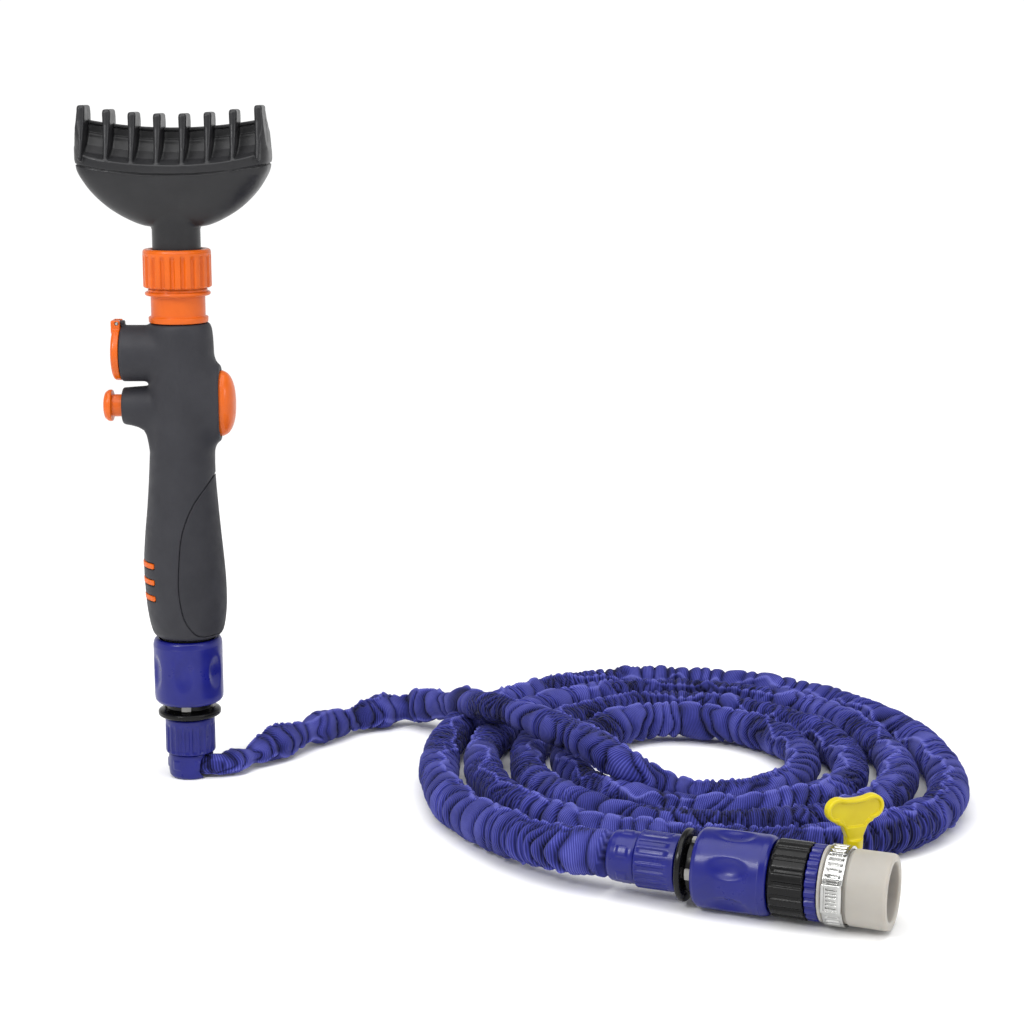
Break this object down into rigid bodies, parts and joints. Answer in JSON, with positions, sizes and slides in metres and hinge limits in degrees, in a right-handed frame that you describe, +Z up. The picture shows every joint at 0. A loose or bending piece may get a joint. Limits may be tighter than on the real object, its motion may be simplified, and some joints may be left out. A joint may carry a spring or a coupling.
{
  "type": "handheld bath sprayer",
  "caption": "Handheld pet bath sprayer with a comb head, thumb valve, shampoo port, quick couplers, coiled fabric hose and a clamped tap sleeve.",
  "frame": {"origin": "on the floor, under the axis of the upright sprayer", "axes": "+Z up along the sprayer's axis, +X towards the coiled hose and the thumb button's side, the comb faces -Y"},
  "size_m": [0.4326, 0.3724, 0.3346],
  "materials": {
    "head_plastic": "satin",
    "grip_plastic": "soft touch",
    "grip_panel": "soft touch",
    "orange_plastic": "gloss",
    "orange_inlay": "satin",
    "blue_plastic": "gloss",
    "black_plastic": "satin",
    "inner_plastic": "satin",
    "white_plastic": "satin",
    "yellow_plastic": "gloss",
    "seal_rubber": "matt",
    "silicone": "translucent",
    "steel": "bright",
    "hose_fabric": "ribbed polyester"
  },
  "bodies": {
    "hose": {"near_hose_ferrule": "blue_plastic", "near_hose_nut": "blue_plastic", "near_coupler_core": "black_plastic", "near_latch_claws": "white_plastic", "near_collar_spring": "steel", "hose_start": "hose_fabric", "hose_lead": "hose_fabric", "hose_coil": "hose_fabric", "hose_tail": "hose_fabric", "far_hose_ferrule": "blue_plastic", "far_hose_nut": "blue_plastic", "far_coupler_core": "black_plastic", "far_latch_claws": "white_plastic", "far_collar_spring": "steel"},
    "near_collar": {"near_release_collar": "blue_plastic"},
    "far_collar": {"far_release_collar": "blue_plastic"},
    "handle": {"grip_body": "grip_plastic", "grip_panel": "grip_panel", "grip_stripe_1": "orange_inlay", "grip_stripe_2": "orange_inlay", "grip_stripe_3": "orange_inlay", "water_tube_lower": "inner_plastic", "water_tube_upper": "inner_plastic", "valve_body": "inner_plastic", "valve_seal": "seal_rubber", "button_spring": "steel", "cap_hinge_pin": "steel", "tail_nipple": "black_plastic", "tail_nipple_seal": "seal_rubber", "neck_adapter": "orange_plastic", "neck_washer": "seal_rubber"},
    "button": {"thumb_button": "orange_plastic", "valve_stem": "steel"},
    "filler_lid": {"filler_cap": "orange_plastic", "filler_seal": "seal_rubber"},
    "doser": {"dosing_knob": "orange_plastic", "dosing_seal": "seal_rubber"},
    "union": {"union_nut": "orange_plastic"},
    "head": {"head_bowl": "head_plastic", "head_gasket": "seal_rubber", "head_comb_plate": "head_plastic"},
    "tap_adapter": {"adapter_nipple": "black_plastic", "adapter_nipple_seal": "seal_rubber", "adapter_barb": "blue_plastic", "silicone_sleeve": "silicone", "clamp_band": "steel", "clamp_housing": "steel"},
    "adapter_lock_nut": {"adapter_nut": "black_plastic"},
    "key": {"clamp_screw": "steel", "clamp_key": "yellow_plastic"}
  },
  "joints": [
    {"name": "handle_swivel", "type": "hinge", "parent": "hose", "child": "handle", "pos_m": [0, 0, 0.06], "axis": [0, 0, 1], "continuous": true},
    {"name": "near_collar_slide", "type": "slide", "parent": "hose", "child": "near_collar", "axis": [0, 0, -1], "range_m": [0, 0.003], "stiffness_N_per_m": 1500, "springref_m": -0.002, "deforming": ["near_collar_spring"]},
    {"name": "far_collar_slide", "type": "slide", "parent": "hose", "child": "far_collar", "axis": [-0.9272, 0.3746, 0], "range_m": [0, 0.003], "stiffness_N_per_m": 1500, "springref_m": -0.002, "deforming": ["far_collar_spring"]},
    {"name": "thumb_button_press", "type": "slide", "parent": "handle", "child": "button", "axis": [-1, 0, 0], "range_m": [0, 0.004], "stiffness_N_per_m": 1200, "springref_m": -0.002, "deforming": ["button_spring"]},
    {"name": "filler_cap_hinge", "type": "hinge", "parent": "handle", "child": "filler_lid", "pos_m": [-0.0296, 0, 0.2299], "axis": [0, 1, 0], "range_deg": [0, 110]},
    {"name": "dosing_knob_push", "type": "slide", "parent": "handle", "child": "doser", "axis": [1, 0, 0], "range_m": [0, 0.0045]},
    {"name": "union_nut_turn", "type": "hinge", "parent": "handle", "child": "union", "pos_m": [0, 0, 0.256], "axis": [0, 0, 1], "continuous": true},
    {"name": "head_turn", "type": "hinge", "parent": "handle", "child": "head", "pos_m": [0, 0, 0.265], "axis": [0, 0, 1], "continuous": true},
    {"name": "tap_adapter_swivel", "type": "hinge", "parent": "hose", "child": "tap_adapter", "pos_m": [0.26193, -0.18958, 0.0174], "axis": [0.9272, -0.3746, 0], "continuous": true},
    {"name": "adapter_nut_turn", "type": "hinge", "parent": "tap_adapter", "child": "adapter_lock_nut", "pos_m": [0.28047, -0.19707, 0.0174], "axis": [0.9272, -0.3746, 0], "continuous": true},
    {"name": "clamp_key_turn", "type": "hinge", "parent": "tap_adapter", "child": "key", "pos_m": [0.30722, -0.18533, 0.0294], "axis": [0, 0, 1], "continuous": true}
  ]
}
